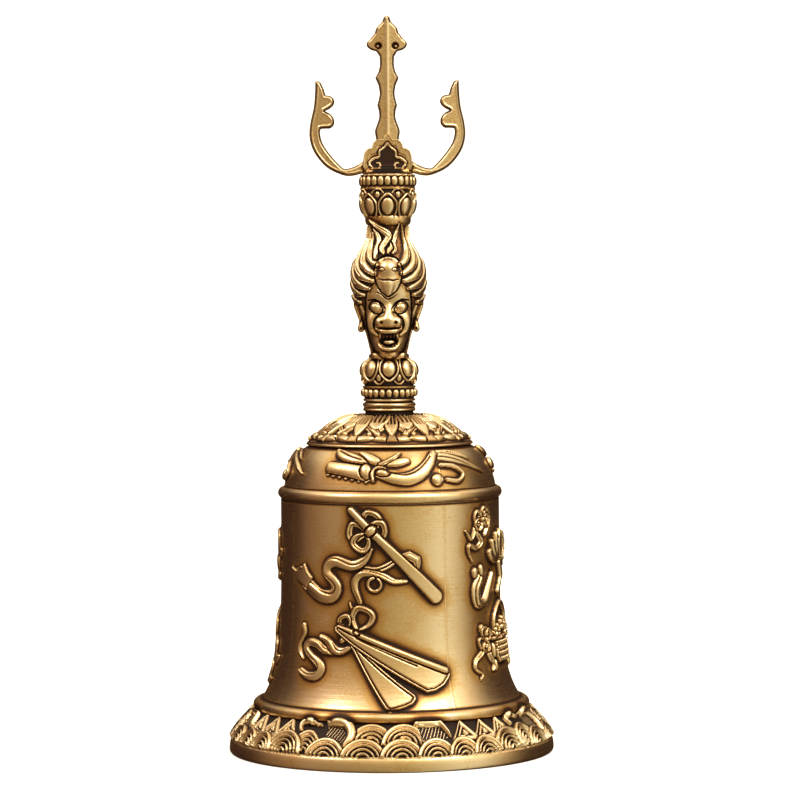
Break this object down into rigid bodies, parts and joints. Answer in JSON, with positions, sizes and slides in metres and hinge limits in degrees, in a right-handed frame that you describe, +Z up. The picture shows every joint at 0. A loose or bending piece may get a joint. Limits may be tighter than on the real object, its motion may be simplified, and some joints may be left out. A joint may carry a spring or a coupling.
{
  "type": "ritual hand bell",
  "caption": "Ritual hand bell: flared cast cup with a lotus crown, a mask-carved grip between lotus rings, a trident finial, and a clapper hung from a swivel eye inside.",
  "frame": {"origin": "centre of the mouth, on the plane the rim rests on", "axes": "+Z up the handle to the tip of the centre prong; the trident lies in the XZ plane; one mask looks along -Y and one along +Y"},
  "size_m": [0.09, 0.09, 0.2033],
  "materials": {
    "antique_brass": "antiqued satin",
    "dark_brass": "dull",
    "plated_steel": "satin plated"
  },
  "bodies": {
    "bell": {"bell_body": "antique_brass", "lotus_cap": "antique_brass", "base_collar": "antique_brass", "lower_lotus_seat": "antique_brass", "handle_grip": "antique_brass", "upper_lotus_cup": "antique_brass", "trident_yoke": "antique_brass", "center_prong": "antique_brass", "prong_pin": "dark_brass", "tie_rod": "plated_steel", "crown_washer": "plated_steel", "lock_washer": "plated_steel", "crown_nut": "plated_steel", "hanger_cap": "plated_steel"},
    "swivel": {"swivel_eye": "plated_steel"},
    "clapper": {"clapper_rod": "plated_steel", "clapper_ball": "dark_brass", "clapper_end_nut": "plated_steel"}
  },
  "joints": [
    {"name": "eye_swivel", "type": "hinge", "parent": "bell", "child": "swivel", "pos_m": [0, 0, 0.0715], "axis": [0, 0, 1], "continuous": true},
    {"name": "clapper_swing", "type": "hinge", "parent": "swivel", "child": "clapper", "pos_m": [0, 0, 0.0615], "axis": [1, 0, 0], "range_deg": [-30.5, 30.5]}
  ]
}
